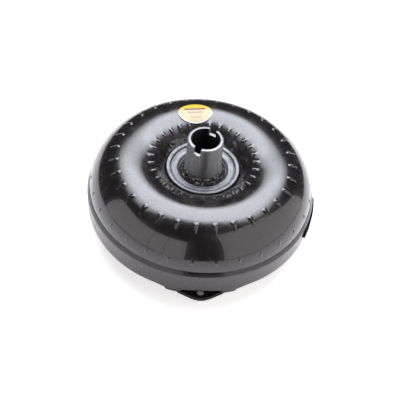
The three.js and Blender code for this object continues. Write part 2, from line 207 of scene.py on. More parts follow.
def ridge(across, along, width, height, crest, dented=0.16):
    """A long bump: along runs from 0 at its round end, through its crest, to 1 at its pointed end."""
    rise = smooth(0, crest, along) * (1 - 0.55 * smooth(0.3, 0.75, along)) * (1 - smooth(0.75, 1.05, along))
    half = width * (1 - 0.6 * smooth(0.1, 1, along))
    dents = -dented * np.exp(-(((np.abs(across) - 2.1 * half) / (0.7 * half)) ** 2))
    return height * rise * (np.exp(-((across / half) ** 2)) + dents)


def ramp(across, along, width, height):
    """A flat-topped bump that climbs from its wide end at 0 and drops just before its narrow end at 1."""
    half = width * (1 - 0.55 * smooth(0, 0.9, along))
    climb = np.clip(along / 0.8, 0, 1) * smooth(0, 0.12, along) * (1 - smooth(0.8, 1, along))
    return height * climb * np.exp(-((across / half) ** 4))


def off_label(turns, r):
    """0 under the label and 1 clear of it."""
    angle = np.radians(turns - LABEL["turn"])[:, None]
    share = np.hypot((r * np.cos(angle) - LABEL["r"]) / LABEL["high"], r * np.sin(angle) / LABEL["wide"])
    return smooth(1.02, 1.12, share)


def tab_relief(turns, angles):
    """How far the stamped fin tabs stand out, for turns x section angles."""
    r = TORUS_R + CROWN * np.cos(np.radians(angles))[None, :]
    z = CROWN * np.sin(np.radians(angles))[None, :]
    outward = angles[None, :] < 90
    across = np.radians(tab_offset(turns, 0))[:, None] * r
    outer = ridge(across, (r - 113.0) / 14.0, 2.0, 1.6, 0.3, 0.09)
    ticks = ridge(across, (21.5 - z) / 9.5, 1.6, 1.15, 0.4)
    inner_across = np.radians(tab_offset(turns, INNER_LEAD))[:, None] * r
    inner = ramp(inner_across, (73.0 - r) / 7.5, 3.1, 3.0) * off_label(turns, r)
    return np.where(outward, outer + ticks, inner)


def shell_turns():
    """Turns that are close together at the fin tabs."""
    near, far = np.arange(-1.9, 2.0, 0.21), np.arange(2.2, 5.0, 0.3)
    sector = np.concatenate([near, far, [5.4, 6.2, 7.1, 8.1, 9.0]])
    return (np.arange(FINS)[:, None] * PITCH + sector[None, :]).ravel() + FIN_PHASE


def shell_angles(bore):
    """Section angles from the skirt to the bore that are close together at the fin tabs."""
    spans = [(0, 10, 3), (10, 23, 14), (23, 54, 6), (54, 74, 22)]
    spans += [(74, 108, 6), (108, 122, 5), (122, 139, 20), (139, bore, 4)]
    return np.concatenate([np.linspace(a, b, n, endpoint=False) for a, b, n in spans] + [[bore]])


def shell_lift(turns, angles):
    """How far the pressed sheet is off a true round section: the tabs, an uneven slope and a shallow dip."""
    base = spun(TORUS_R + CROWN * np.cos(np.radians(angles)), CROWN * np.sin(np.radians(angles)), turns)
    slope = smooth(104, 125, angles)[None, :]
    near_hub = smooth(126, 135, angles)[None, :]
    lift = tab_relief(turns, angles) + turned_grain(base, 30, 0.07) + turned_grain(base, 6, 0.10) * slope
    lift += (turned_grain(base, 10, 0.55) + turned_grain(base, 4.5, 0.3)) * near_hub
    return lift - 1.3 * (smooth(92, 124, angles) - smooth(124, 142, angles))[None, :]


def shell():
    turns = shell_turns()
    bore = math.degrees(math.acos((SHELL_BORE - TORUS_R) / CROWN))
    angles = shell_angles(bore)
    inset = 0.08  # leaves room for the grain inside the frame's box
    away = CROWN - inset + shell_lift(turns, angles)
    r_out = TORUS_R + away * np.cos(np.radians(angles))[None, :]
    z_out = away * np.sin(np.radians(angles))[None, :]
    under = np.linspace(bore + 3, 0, 7)
    inside = CROWN - SHEET
    r_in = TORUS_R + inside * np.cos(np.radians(under))
    z_in = inside * np.sin(np.radians(under))
    foot_r = np.array([TORUS_R + inside, TORUS_R + inside + 0.3, SHELL_R - 0.4, SHELL_R - inset])
    foot_z = np.array([SKIRT + 0.3, SKIRT, SKIRT, SKIRT + 0.4])
    count = (len(turns), 1)
    r = np.hstack([np.tile(foot_r, count), r_out, np.tile(r_in, count)])
    z = np.hstack([np.tile(foot_z, count), z_out, np.tile(z_in, count)])
    return skin("shell_skin", spun(r, z, turns), sharp=50)


# ------------------------------------------------------------------ cover
def cover_outlines():
    """Three outlines with the same corners: the plain wall, a lug's pad, and the room round its bolt."""
    bore, wall = PILOT_R + 0.4, COVER_R - SHEET
    raised, base = COVER_CENTRE + SHEET, COVER_FACE + SHEET
    inside = [
        (bore, COVER_CENTRE, 0.6), (bore, raised, 0.6), (61, raised, 3), (77, base, 3),
        (112.6, base, 3), (132.4, -35, 3), (wall, -35, 11), (wall, COVER_RIM, 0.4),
    ]
    pad_root = (123, -45.7, 2.5)
    plain = [(COVER_R, -38, 17), (137, -38, 0.5), (134, -38, 0.5), (132, -38, 4)]
    pad = [(COVER_R, -35.5, 9), (151, -37, 2.5), (150.8, -45.9, 2.6), pad_root]
    room = [(COVER_R, -37.5, 15), (141, -38.2, 1.5), (138.5, -45.7, 2), pad_root]
    face = [(112, COVER_FACE, 5), (78, COVER_FACE, 5), (62, COVER_CENTRE, 5)]
    rim = [(COVER_R - 0.4, COVER_RIM, 0.3), (COVER_R, COVER_RIM - 2.6, 2.4)]
    return [rounded(rim + outside + face + inside) for outside in (plain, pad, room)]


def cover():
    """The pan, whose section changes to a pad at each lug."""
    plain, pad, room = cover_outlines()
    near = np.concatenate([np.arange(-28, -6, 0.5), np.arange(-6, 6, 0.25), np.arange(6, 28.1, 0.5)])
    far = np.arange(30, 91, 2)
    turns = np.sort(np.concatenate([np.concatenate([near, far]) + t for t in LUG_TURNS]))
    away = np.min([np.abs((turns - t + 180) % 360 - 180) for t in LUG_TURNS], axis=0)[:, None]
    on_pad = 1 - smooth(17, 25, away)
    on_bolt = 1 - smooth(8, 11, away)
    r, z = [
        plain[:, k] * (1 - on_pad) + (pad[:, k] * (1 - on_bolt) + room[:, k] * on_bolt) * on_pad
        for k in (0, 1)
    ]
    return skin("cover_skin", spun(r, z, turns), sharp=45)


def closure_bead():
    """A shallow fillet between the shell and the cover's rolled rim."""
    turns, ripples, height = all_round(620), 124, 0.07
    ripple = height * np.abs(np.sin(np.radians(turns * ripples)))[:, None]
    root, foot = 152.2, -1.9
    corners = [(root, foot, 0.1), (155.4, foot, 0.1), (155.1, -1.5, 0.5), (152.6, 3.4, 0.8), (root, 3.7, 0.1)]
    r, z = rounded(corners, 5).T
    bulge = smooth(-1.6, -0.8, z)[None, :] * smooth(152.3, 152.8, r)[None, :]
    return skin("closure_bead_skin", spun(r + ripple * bulge, z + ripple * bulge, turns))


def lug(number, turn):
    """A rounded triangular plate with a bolt hole, its edges rounded all round."""
    half_plan = [(157, 0, 4), (155, 9.5, 7), (142, 34, 6), (127, 26, 5)]
    plan = rounded([(x, -y, size) for x, y, size in half_plan[:0:-1]] + half_plan, 6)
    plan = np.concatenate([plan, plan[:1]])
    plan = np.concatenate([np.linspace(a, b, 9)[:-1] for a, b in zip(plan[:-1], plan[1:])])
    toward_edge = np.arctan2(plan[:, 1], plan[:, 0] - LUG_CIRCLE)
    around = np.linspace(-math.pi, math.pi, 144, endpoint=False)
    reach = np.hypot(plan[:, 0] - LUG_CIRCLE, plan[:, 1])
    order = np.argsort(toward_edge)
    reach = np.interp(around, toward_edge[order], reach[order], period=2 * math.pi)
    rim = 8
    section = rounded([
        (LUG_HOLE, LUG_BOTTOM, 0.5), (rim, LUG_BOTTOM, 0.8), (rim, LUG_TOP, 0.8), (LUG_HOLE, LUG_TOP, 0.5)])
    out = np.where(section[:, 0] > (LUG_HOLE + rim) / 2, reach[:, None] - rim, 0) + section[:, 0]
    x, y = LUG_CIRCLE + out * np.cos(around)[:, None], out * np.sin(around)[:, None]
    c, s = math.cos(math.radians(turn)), math.sin(math.radians(turn))
    grid = np.stack([x * c - y * s, x * s + y * c, np.broadcast_to(section[:, 1], x.shape)], -1)
    return skin(f"lug_plate_{number}", grid)


def balance_weight():
    """A strip with rounded ends that follows the cover's wall."""
    low, high = WEIGHT_SPAN
    turns = np.linspace(low, high, 90)
    from_end = np.minimum(turns - low, high - turns) / 1.6
    keep = 0.55 + 0.45 * np.sqrt(1 - (1 - np.clip(from_end, 0, 1)) ** 2)
    inner, half = COVER_R + 0.1, (WEIGHT_TOP - WEIGHT_BOTTOM) / 2
    middle = (WEIGHT_TOP + WEIGHT_BOTTOM) / 2
    outline = rounded([
        (inner, -half, 0.2), (WEIGHT_R, -half, 0.9), (WEIGHT_R, half, 0.9), (inner, half, 0.2)])
    z = middle + outline[None, :, 1] * keep[:, None]
    return skin("weight_skin", spun(outline[:, 0], z, turns), wrap=False)


# ------------------------------------------------------------------ hub
def slot_cutter():
    """A bar across the end of the tube that cuts both slots, with its two lower edges rounded."""
    end, length = (SEAM + HUB_TOP) * MM, 80 * MM
    place = Matrix.Translation((0, 0, end)) @ Matrix.Rotation(math.radians(SLOT["turn"]), 4, "Z")
    size = Matrix.Diagonal((length, SLOT["width"] * MM, 2 * SLOT["depth"] * MM, 1))
    bm = bmesh.new()
    bmesh.ops.create_cube(bm, size=1, matrix=place @ size)
    low = [e for e in bm.edges if all(vert.co.z < end for vert in e.verts)]
    long_ones = [e for e in low if e.calc_length() > 0.9 * length]
    bmesh.ops.bevel(bm, geom=long_ones, offset=1.2 * MM, segments=4, affect="EDGES", profile=0.5)
    mesh = bpy.data.meshes.new("slots")
    bm.to_mesh(mesh)
    bm.free()
    cutter = bpy.data.objects.new("slots", mesh)
    bpy.context.scene.collection.objects.link(cutter)
    return cutter


def hub_tube():
    tube = revolve("hub_tube", [
        (HUB_BORE, HUB_BOTTOM, 0.6), (HUB_R, HUB_BOTTOM, 0.6),
        (HUB_R, HUB_TOP, 2.0), (HUB_BORE, HUB_TOP, 0.8),
    ], 160)
    cutter = slot_cutter()
    cut = tube.modifiers.new("slots", "BOOLEAN")
    cut.operation, cut.object, cut.solver = "DIFFERENCE", cutter, "EXACT"
    bevel = tube.modifiers.new("edges", "BEVEL")
    bevel.width, bevel.segments = 0.5 * MM, 3
    bevel.limit_method, bevel.angle_limit = "ANGLE", math.radians(50)
    tube = baked(tube)
    bpy.data.objects.remove(cutter)
    return tube


def hub_flange():
    bore, lip, lowest = HUB_R + 0.3, FLANGE_TOP, 31.6
    return revolve("flange_skin", [
        (bore, FLANGE_BOTTOM, 0.3), (40, FLANGE_BOTTOM, 2), (FLANGE_R, 30.6, 1), (FLANGE_R, lip - 0.2, 1.6),
        (47.2, lip, 1.2), (44.2, lip - 0.2, 1.4), (43.2, 35.4, 0.5), (42.2, 35.2, 0.4), (41.6, 35.9, 0.5),
        (34.4, 35.8, 0.9), (33.9, 34.5, 0.4), (33.0, 34.0, 0.4), (32.5, 32.2, 0.5), (31, lowest + 0.1, 0.6),
        (bore, lowest, 0.2),
    ], 256)


def hub_bead():
    """A rough fillet laid round the tube in two overlapping runs."""
    turns = all_round(900)
    corners = [
        (24.2, 31.9, 0.3), (31.2, 31.9, 0.6), (31.2, 33.6, 1.6), (28.6, 35.6, 1.6), (27.9, 36.0, 0.6),
        (27.3, 38.4, 1.6), (25.7, 39.7, 0.6), (25.2, 40.1, 0.3), (24.2, 40.2, 0.2),
    ]
    r, z = rounded(corners, 4).T
    points = spun(r, z, turns)
    ripples = 31
    wave = np.radians(turns[:, None] * ripples) + z[None, :] * 0.9 + turned_grain(points, 14, 3.0)
    rough = 0.4 * np.abs(np.sin(wave)) - 0.2
    rough = rough + turned_grain(points, 3.0, 0.7) + turned_grain(points, 1.1, 0.12)
    away = smooth(25.2, 26.8, r)[None, :]
    high = np.clip(z + rough * away * 0.7, 31.8, 40.2)
    return skin("hub_bead_skin", spun(r + rough * away * 0.8, high, turns), sharp=60)


def crank_pilot():
    end, collar, shoulder, top = -SEAM, 25.6, COVER_CENTRE - 0.3, COVER_CENTRE + SHEET
    return revolve("pilot_skin", [
        (0, end, 0), (PILOT_R, end, 2.2), (PILOT_R, -46, 1.2), (collar, -41.6, 0.8), (collar, shoulder, 0.3),
        (PILOT_R, shoulder, 0), (PILOT_R, top, 0.4), (0, top, 0),
    ], 160)


def label():
    """A thin oval film that lies on the crown."""
    around = np.linspace(0, 2 * math.pi, 96, endpoint=False)
    rings = 12
    out = np.linspace(0, 1, rings)
    share = np.concatenate([out, out[::-1]])
    lift = np.concatenate([np.full(rings, 0.25), np.full(rings, 0.75)])
    lift[rings - 1], lift[rings] = 0.35, 0.65
    radial = LABEL["r"] + LABEL["high"] * share[None, :] * np.sin(around)[:, None]
    tangent = LABEL["wide"] * share[None, :] * np.cos(around)[:, None]
    r = np.hypot(radial, tangent)
    turn = math.radians(LABEL["turn"]) - np.arctan2(tangent, radial)
    slope = np.arccos(np.clip((r - TORUS_R) / CROWN, -1, 1))
    away = CROWN + lift[None, :]
    rr = TORUS_R + away * np.cos(slope)
    grid = np.stack([rr * np.cos(turn), rr * np.sin(turn), away * np.sin(slope)], -1)
    return skin("label_film", grid, sharp=60)


# ------------------------------------------------------------------ inside
def gathered(name, pieces):
    """Joins pieces into one."""
    bm = bmesh.new()
    for piece in pieces:
        bm.from_mesh(piece.data)
        bpy.data.objects.remove(piece)
    mesh = bpy.data.meshes.new(name)
    bm.to_mesh(mesh)
    bm.free()
    return finished(name, mesh)


def span_of(node):
    """A node's lowest and highest point from the seam."""
    return edge(node, LOW, "z") - SEAM, edge(node, HIGH, "z") - SEAM


def arc(centre, size, start, end, steps):
    """Points on part of an ellipse, as rows of radius and height."""
    angles = np.radians(np.linspace(start, end, steps))
    return np.stack([centre[0] + size[0] * np.cos(angles), centre[1] + size[1] * np.sin(angles)], -1)


def wave_between(turns, count, low, high):
    """Square teeth with sloping sides between two radii."""
    place = (turns / 360 * count) % 1
    return low + (high - low) * (smooth(0.0, 0.12, place) - smooth(0.46, 0.58, place))


def splined(name, corners, minor, major):
    """A turned piece whose bore has teeth."""
    r, z = rounded(corners).T
    turns = all_round(SPLINE_TEETH * 24)
    bore = wave_between(turns, SPLINE_TEETH, minor, major)[:, None] - minor
    return skin(name, spun(r + np.where(r < minor + 0.7, bore, 0), z, turns))


def bar(node, ends):
    """A turned piece on a node's own centre line; ends are (radius, height, rounding) from its underside."""
    low, _ = span_of(node)
    r, z = rounded([(r, low + z, size) for r, z, size in ends], 5).T
    middle = [(edge(node, LOW, k) + edge(node, HIGH, k)) / 2 for k in "xy"]
    return skin(f"{node}_skin", spun(r, z, all_round(40)) + (*middle, 0))


def blades(count, phase, outer, inner, lean):
    """Sheet blades between an outer and an inner edge, both rows of radius and height."""
    share, thick = np.linspace(0, 1, 7), 1.2
    made = []
    for turn in all_round(count) + phase:
        mid = outer[:, None] + (inner - outer)[:, None] * share[None, :, None]
        r, z = mid[..., 0], mid[..., 1]
        angle = np.radians(turn + lean(r))
        sides = [angle + k * thick / 2 / r for k in (-1, 1)]
        loop = np.concatenate([sides[0], sides[1][:, ::-1]], 1)
        rr, zz = np.concatenate([r, r[:, ::-1]], 1), np.concatenate([z, z[:, ::-1]], 1)
        made.append(skin("fin", np.stack([rr * np.cos(loop), rr * np.sin(loop), zz], -1), wrap=False))
    return made


def core_half(side):
    """Half of the core ring: side is 1 for the impeller's half and -1 for the turbine's."""
    inner = CORE_R - 2
    out = arc(CORE, (CORE_R, CORE_R * side), 3, 150, 28)
    back = arc(CORE, (inner, inner * side), 150, 3, 28)
    r, z = np.concatenate([out, back]).T
    return skin("core", spun(r, z, all_round(160)))


def impeller_fins():
    reach, core = 52.4, CORE_R + 0.4
    outer = arc((TORUS_R, 0), (reach, reach), 10.4, 141.5, 26)
    inner = arc(CORE, (core, core), 4, 149, 26)
    fins = blades(FINS, FIN_PHASE, outer, inner, lambda r: INNER_LEAD * np.clip((114 - r) / 44, 0, 1))
    return gathered("impeller_fins_skin", fins + [core_half(1)])


def turbine_fins():
    core = CORE_R + 0.4
    outer = arc(TURBINE, (48, 43.8), 0, -149.8, 26)
    inner = arc(CORE, (core, core), -5, -149, 26)
    inner[-3:] = [(78.5, -9), (76.5, -11.5), (74.5, -13.5)]
    fins = blades(TURBINE_FINS, 0, outer, inner, lambda r: 9 * ((r - 54) / 90) ** 2)
    return gathered("turbine_fins_skin", fins + [core_half(-1)])


def turbine_shell():
    out = arc(TURBINE, (51.4, 46.9), 0, -146.4, 40)
    back = arc(TURBINE, (49.5, 45), -147.8, 0, 40)
    r, z = np.concatenate([out, [(40.8, -20), (40.6, -19.8), (40.6, -18.2), (40.8, -18)], back]).T
    return skin("turbine_shell_skin", spun(r, z, all_round(240)), sharp=40)


def turbine_hub():
    low, high = span_of("turbine_hub")
    barrel, flange, seat, groove = 40, 50.4, -17.7, high - 0.4
    return splined("turbine_hub_skin", [
        (TURBINE_BORE, low, 0.7), (39, low, 0.6), (barrel, low + 1.2, 0.5), (barrel, seat, 0.4),
        (flange, seat, 0.6), (flange, high, 0.9), (41, high, 0.3), (40.4, groove, 0.3), (38, groove, 0.3),
        (37.5, high, 0.3), (TURBINE_BORE, high, 0.7),
    ], TURBINE_BORE, 16)


def stator_race():
    low, high = span_of("stator_inner_race")
    outside = 25
    return splined("stator_race_skin", [
        (RACE_BORE, low, 0.6), (outside, low, 0.5), (outside, high, 0.5), (RACE_BORE, high, 0.6),
    ], RACE_BORE, 17.8)


def near_key(turns, r):
    """True within the width of the four keys."""
    first, pitch, half_width = 22.5, 90, 3.0
    off = (turns - first + pitch / 2) % pitch - pitch / 2
    return np.abs(np.radians(off) * r) < half_width


def stator_cam():
    """A ring with a ramped pocket for each roller and four keys outside."""
    low, high = span_of("stator_cam")
    turns = all_round(960)
    place = (turns / 360 * ROLLERS + 0.2) % 1
    pocket = np.interp(place, (0, 0.06, 0.22, 0.36, 0.54, 0.62, 1), (0, 3.1, 3.3, 2.8, 1.2, 0, 0))
    key = np.where(near_key(turns, CAM_R), 1.4, 0)
    r, z = rounded([(CAM_BORE, low, 0.4), (CAM_R, low, 0.4), (CAM_R, high, 0.4), (CAM_BORE, high, 0.4)]).T
    inner = r < (CAM_BORE + CAM_R) / 2
    return skin("stator_cam_skin", spun(r + np.where(inner, pocket[:, None], key[:, None]), z, turns))


def stator_blade(turn):
    """A curved blade, thick below and thin above, between the hub and the outer ring."""
    nose, heel = (-8.5, -3.5), (-3.5, -6.8)
    strokes = [(nose, (-7.6, -7.2), heel), (heel, (4.5, 0), (7, 15.5)), ((6.2, 16.3), (0.5, 4), nose)]
    section = []
    for a, b, c in strokes:
        s = np.linspace(0, 1, 14, endpoint=False)[:, None]
        section.append((1 - s) ** 2 * np.array(a) + 2 * s * (1 - s) * np.array(b) + s * s * np.array(c))
    section = np.concatenate(section)
    root, tip = 42.5, 70.6
    reach = np.array([root, 43.2, 45, 50, 56, 62, 66, 69.4, tip])[:, None]
    flare = 0.12 * (np.exp(-(((reach - root) / 1.4) ** 2)) + np.exp(-(((reach - tip) / 1.4) ** 2)))
    side = section[None, :, 0] * (1 + flare)
    c, s = math.cos(math.radians(turn)), math.sin(math.radians(turn))
    up = np.broadcast_to(section[None, :, 1], side.shape)
    return skin("blade", np.stack([reach * c - side * s, reach * s + side * c, up], -1), wrap=False)


def stator_wheel():
    """The hub's cup with a snap ring groove and key slots, the blades and the outer ring."""
    low, high = span_of("stator_wheel")
    turns = all_round(720)
    outside, bore, groove = 44.5, 40.2, 41.4
    r, z = rounded([
        (26, low, 0.5), (outside, low, 1.2), (outside, high, 0.8), (bore, high, 0.5), (bore, 17.4, 0.1),
        (groove, 17.4, 0.1), (groove, 15.6, 0.1), (bore, 15.6, 0.1), (bore, STATOR_FLOOR, 0.6),
        (26, STATOR_FLOOR, 0.5)]).T
    wall = (r > bore - 0.1) & (r < groove + 0.6) & (z > STATOR_FLOOR + 0.2)
    slot = np.where(near_key(turns, 38), 1.6, 0)[:, None]
    hub = skin("hub", spun(np.where(wall, np.maximum(r, bore + slot), r), z, turns))
    inner, outer, bottom, top = 70, 73, low + 0.5, high - 0.5
    rim = revolve("rim", [(inner, bottom, 0.8), (outer, bottom, 0.8), (outer, top, 0.8), (inner, top, 0.8)])
    return gathered("stator_wheel_skin", [hub, rim, *map(stator_blade, all_round(STATOR_BLADES))])


def clutch_spring(turn):
    """A folded strip."""
    folds, start, step = 4, 9.4, 2.85
    place = np.linspace(0, folds, 65)
    angle = np.radians(turn + start + place * step)
    reach = 28.4 - 2.0 * np.cos(math.pi * place)
    path = np.stack([reach * np.cos(angle), reach * np.sin(angle)], -1)
    along = np.gradient(path, axis=0)
    along /= np.linalg.norm(along, axis=1)[:, None]
    across = np.stack([-along[:, 1], along[:, 0]], -1)
    section = rounded([(-0.22, -1.5, 0.15), (0.22, -1.5, 0.15), (0.22, 10.5, 0.15), (-0.22, 10.5, 0.15)], 2)
    flat = path[:, None] + across[:, None] * section[None, :, :1]
    high = np.broadcast_to(section[None, :, 1:], flat.shape[:2] + (1,))
    return skin("clutch_spring_skin", np.concatenate([flat, high], -1), wrap=False)


def snap_ring():
    low, high = span_of("snap_ring")
    inner, outer, half_gap = 37.6, 41.1, 7
    r, z = rounded([(inner, low, 0.3), (outer, low, 0.3), (outer, high, 0.3), (inner, high, 0.3)]).T
    return skin("snap_ring_skin", spun(r, z, np.linspace(half_gap, 360 - half_gap, 180)), wrap=False)


def retainer():
    low, high = span_of("clutch_retainer")
    bore, neck, shoulder = 26, 37.3, 15.6
    return revolve("retainer_skin", [
        (bore, low, 0.3), (CAM_R, low, 0.3), (CAM_R, shoulder, 0.3), (neck, shoulder, 0.2), (neck, high, 0.4),
        (bore, high, 0.4)])


def bearing_race(node):
    low, high = span_of(node)
    corners = [(BEARING_BORE, low), (BEARING_R, low), (BEARING_R, high), (BEARING_BORE, high)]
    return revolve(f"{node}_skin", [(r, z, 0.3) for r, z in corners])


def needle_cage(node):
    middle = sum(span_of(node)) / 2
    first, last, thin, thick = 27.2, 34.8, 0.4, 0.7
    side = [(BEARING_BORE + 1, thin, 0.2), (first, thin, 0.1), (first, thick, 0.1)]
    side += [(last, thick, 0.1), (last, thin, 0.1), (BEARING_R - 1, thin, 0.2)]
    ring = [(r, middle - z, size) for r, z, size in side]
    ring += [(r, middle + z, size) for r, z, size in side[::-1]]
    pin = rounded([(0, first, 0), (1, first, 0.3), (1, last, 0.3), (0, last, 0)], 2)
    laid = spun(pin[:, 0], pin[:, 1], all_round(14))
    made = [revolve("cage", ring)]
    for turn in np.radians(all_round(NEEDLES)):
        x, y, z = laid[..., 2], laid[..., 0], laid[..., 1] + middle
        c, s = math.cos(turn), math.sin(turn)
        made.append(skin("needle", np.stack([x * c - y * s, x * s + y * c, z], -1)))
    return gathered(f"{node}_skin", made)


# ------------------------------------------------------------------ materials
class Paint:
    """A node material with a principled surface."""

    def __init__(self, name):
        self.material = bpy.data.materials.new(name)
        self.material.use_nodes = True
        self.tree = self.material.node_tree
        self.surface = self.tree.nodes["Principled BSDF"]
        self.point = self.tree.nodes.new("ShaderNodeTexCoord").outputs["Object"]

    def set(self, **values):
        for name, value in values.items():
            self.surface.inputs[name.replace("_", " ")].default_value = value
        return self

    def node(self, kind, **values):
        made = self.tree.nodes.new(kind)
        for name, value in values.items():
            setattr(made, name, value)
        return made

    def math(self, operation, first, second=0.0):
        made = self.node("ShaderNodeMath", operation=operation)
        for socket, value in zip(made.inputs, (first, second)):
            if isinstance(value, (int, float)):
                socket.default_value = value
            else:
                self.tree.links.new(value, socket)
        return made.outputs[0]

    def noise(self, scale, detail=3, where=None, rough=0.55):
        made = self.node("ShaderNodeTexNoise")
        made.inputs["Scale"].default_value = scale
        made.inputs["Detail"].default_value = detail
        made.inputs["Roughness"].default_value = rough
        self.tree.links.new(self.point if where is None else where, made.inputs["Vector"])
        return made.outputs["Fac"]

    def span(self, value, low, high, first=0.3, last=0.7):
        """Maps first..last of a value to low..high."""
        made = self.node("ShaderNodeMapRange")
        self.tree.links.new(value, made.inputs["Value"])
        for name, number in (("From Min", first), ("From Max", last), ("To Min", low), ("To Max", high)):
            made.inputs[name].default_value = number
        return made.outputs["Result"]

    def colours(self, value, stops):
        made = self.node("ShaderNodeValToRGB")
        elements = made.color_ramp.elements
        while len(elements) < len(stops):
            elements.new(0.5)
        for element, (place, colour) in zip(elements, stops):
            element.position, element.color = place, (*colour, 1)
        self.tree.links.new(value, made.inputs["Fac"])
        return made.outputs["Color"]

    def lay(self, socket, value):
        self.tree.links.new(value, self.surface.inputs[socket])
        return self

    def bump(self, value, depth, socket="Normal"):
        """A bump whose full height is depth millimetres."""
        made = self.node("ShaderNodeBump")
        made.inputs["Distance"].default_value = depth * MM
        self.tree.links.new(value, made.inputs["Height"])
        self.tree.links.new(made.outputs["Normal"], self.surface.inputs[socket])

    def mixed(self, under, over, mask):
        mix = self.node("ShaderNodeMix", data_type="RGBA")
        self.tree.links.new(mask, mix.inputs["Factor"])
        for socket, value in ((mix.inputs[6], under), (mix.inputs[7], over)):
            if isinstance(value, tuple):
                socket.default_value = (*value, 1)
            else:
                self.tree.links.new(value, socket)
        return mix.outputs[2]

    def radius(self):
        """Distance from the spin axis."""
        flat = self.node("ShaderNodeVectorMath", operation="MULTIPLY")
        flat.inputs[1].default_value = (1, 1, 0)
        self.tree.links.new(self.point, flat.inputs[0])
        length = self.node("ShaderNodeVectorMath", operation="LENGTH")
        self.tree.links.new(flat.outputs[0], length.inputs[0])
        return length.outputs["Value"]

    def cylinder_point(self, radial, height):
        """Coordinates that vary only with radius and height, so that a texture makes turning marks."""
        split = self.node("ShaderNodeSeparateXYZ")
        self.tree.links.new(self.point, split.inputs[0])
        join = self.node("ShaderNodeCombineXYZ")
        self.tree.links.new(self.math("MULTIPLY", self.radius(), radial), join.inputs[0])
        self.tree.links.new(self.math("MULTIPLY", split.outputs[2], height), join.inputs[2])
        return join.outputs[0]


def black_paint(name="black_paint", coat=1.0):
    paint = Paint(name).set(Specular_IOR_Level=0.5, Coat_IOR=1.5)
    paint.lay("Coat Weight", paint.span(paint.noise(420, 3), 0.76 * coat, coat))
    smear = paint.noise(38, 4)
    blacks = [(0.3, (0.0056, 0.0038, 0.0042)), (0.75, (0.0098, 0.0072, 0.0077))]
    paint.lay("Base Color", paint.colours(smear, blacks))
    paint.lay("Roughness", paint.span(paint.noise(60, 3), 0.16, 0.3))
    paint.lay("Coat Roughness", paint.span(smear, 0.015, 0.05))
    specks = paint.span(paint.noise(700, 1), 0, 1, 0.70, 0.78)
    peel = paint.math("ADD", paint.noise(420, 2), paint.math("MULTIPLY", specks, 5.0))
    paint.bump(peel, 0.010)
    paint.bump(peel, 0.005, "Coat Normal")
    return paint.material


def lug_paint():
    paint = Paint("lug_paint").set(Specular_IOR_Level=0.3, Coat_Weight=0.12, Coat_Roughness=0.25)
    grain = paint.noise(300, 4)
    blacks = [(0.3, (0.004, 0.003, 0.003)), (0.8, (0.010, 0.0085, 0.009))]
    paint.lay("Base Color", paint.colours(grain, blacks))
    paint.lay("Roughness", paint.span(grain, 0.4, 0.6))
    paint.bump(grain, 0.05)
    return paint.material


def turned_steel(name="turned_steel", colour=(0.21, 0.213, 0.22), roughness=(0.46, 0.6), stain=0.6):
    paint = Paint(name).set(Metallic=1.0)
    marks = paint.noise(1, 3, paint.cylinder_point(1600, 1600))
    blotch = paint.noise(90, 4)
    dark = tuple(c * stain for c in colour)
    paint.lay("Base Color", paint.colours(blotch, [(0.32, dark), (0.62, colour)]))
    paint.lay("Roughness", paint.span(marks, *roughness))
    paint.bump(marks, 0.01)
    return paint.material


def tube_steel():
    """Ground steel whose fine marks run round the tube, so that its reflections stretch along it."""
    paint = Paint("tube_steel").set(Metallic=1.0, Anisotropic=0.85, Anisotropic_Rotation=0.25)
    around = paint.node("ShaderNodeTangent", direction_type="RADIAL", axis="Z")
    paint.lay("Tangent", around.outputs[0])
    streaks = paint.node("ShaderNodeMapping")
    paint.tree.links.new(paint.point, streaks.inputs["Vector"])
    streaks.inputs["Scale"].default_value = (1, 1, 0.04)
    fine = paint.noise(900, 3, streaks.outputs[0])
    side = paint.colours(fine, [(0.3, (0.20, 0.198, 0.20)), (0.7, (0.34, 0.338, 0.342))])
    facing = paint.node("ShaderNodeSeparateXYZ")
    paint.tree.links.new(paint.node("ShaderNodeNewGeometry").outputs["Normal"], facing.inputs[0])
    upward = paint.span(facing.outputs[2], 0, 1, 0.35, 0.8)
    # The bore takes a near-black colour: painted shade inside the tube.
    away = paint.radius()
    outward = paint.span(away, 0, 1, (HUB_BORE + 0.3) * MM, (HUB_BORE + 0.8) * MM)
    # Up-facing ends take a flat grey darker than the sides: painted shade that tones down the overhead light
    # on them.
    ends = paint.mixed(side, (0.19, 0.193, 0.2), upward)
    paint.lay("Base Color", paint.mixed((0.03, 0.028, 0.028), ends, outward))
    paint.lay("Roughness", paint.span(upward, 0.5, 0.3, 0, 1))
    paint.bump(paint.noise(1, 2, paint.cylinder_point(300, 2400)), 0.004)
    return paint.material


def weight_paint():
    paint = Paint("weight_paint").set(Specular_IOR_Level=0.08)
    grain = paint.noise(500, 4)
    blacks = [(0.3, (0.004, 0.003, 0.003)), (0.8, (0.010, 0.009, 0.009))]
    paint.lay("Base Color", paint.colours(grain, blacks))
    paint.lay("Roughness", paint.span(grain, 0.6, 0.8))
    paint.bump(grain, 0.04)
    return paint.material


def weld_steel():
    paint = Paint("weld_steel").set(Metallic=0.55)
    grain = paint.noise(300, 4)
    stops = [(0.3, (0.005, 0.004, 0.004)), (0.52, (0.022, 0.019, 0.019)), (0.68, (0.26, 0.25, 0.25))]
    paint.lay("Base Color", paint.colours(grain, stops))
    paint.lay("Roughness", paint.span(grain, 0.2, 0.45))
    paint.bump(grain, 0.05)
    return paint.material


def sheet_steel():
    paint = Paint("sheet_steel").set(Metallic=1.0)
    blotch = paint.noise(55, 5)
    greys = [(0.3, (0.30, 0.25, 0.21)), (0.5, (0.42, 0.42, 0.43)), (0.8, (0.5, 0.5, 0.52))]
    paint.lay("Base Color", paint.colours(blotch, greys))
    paint.lay("Roughness", paint.span(paint.noise(240, 3), 0.3, 0.5))
    paint.bump(paint.noise(900, 3), 0.02)
    return paint.material


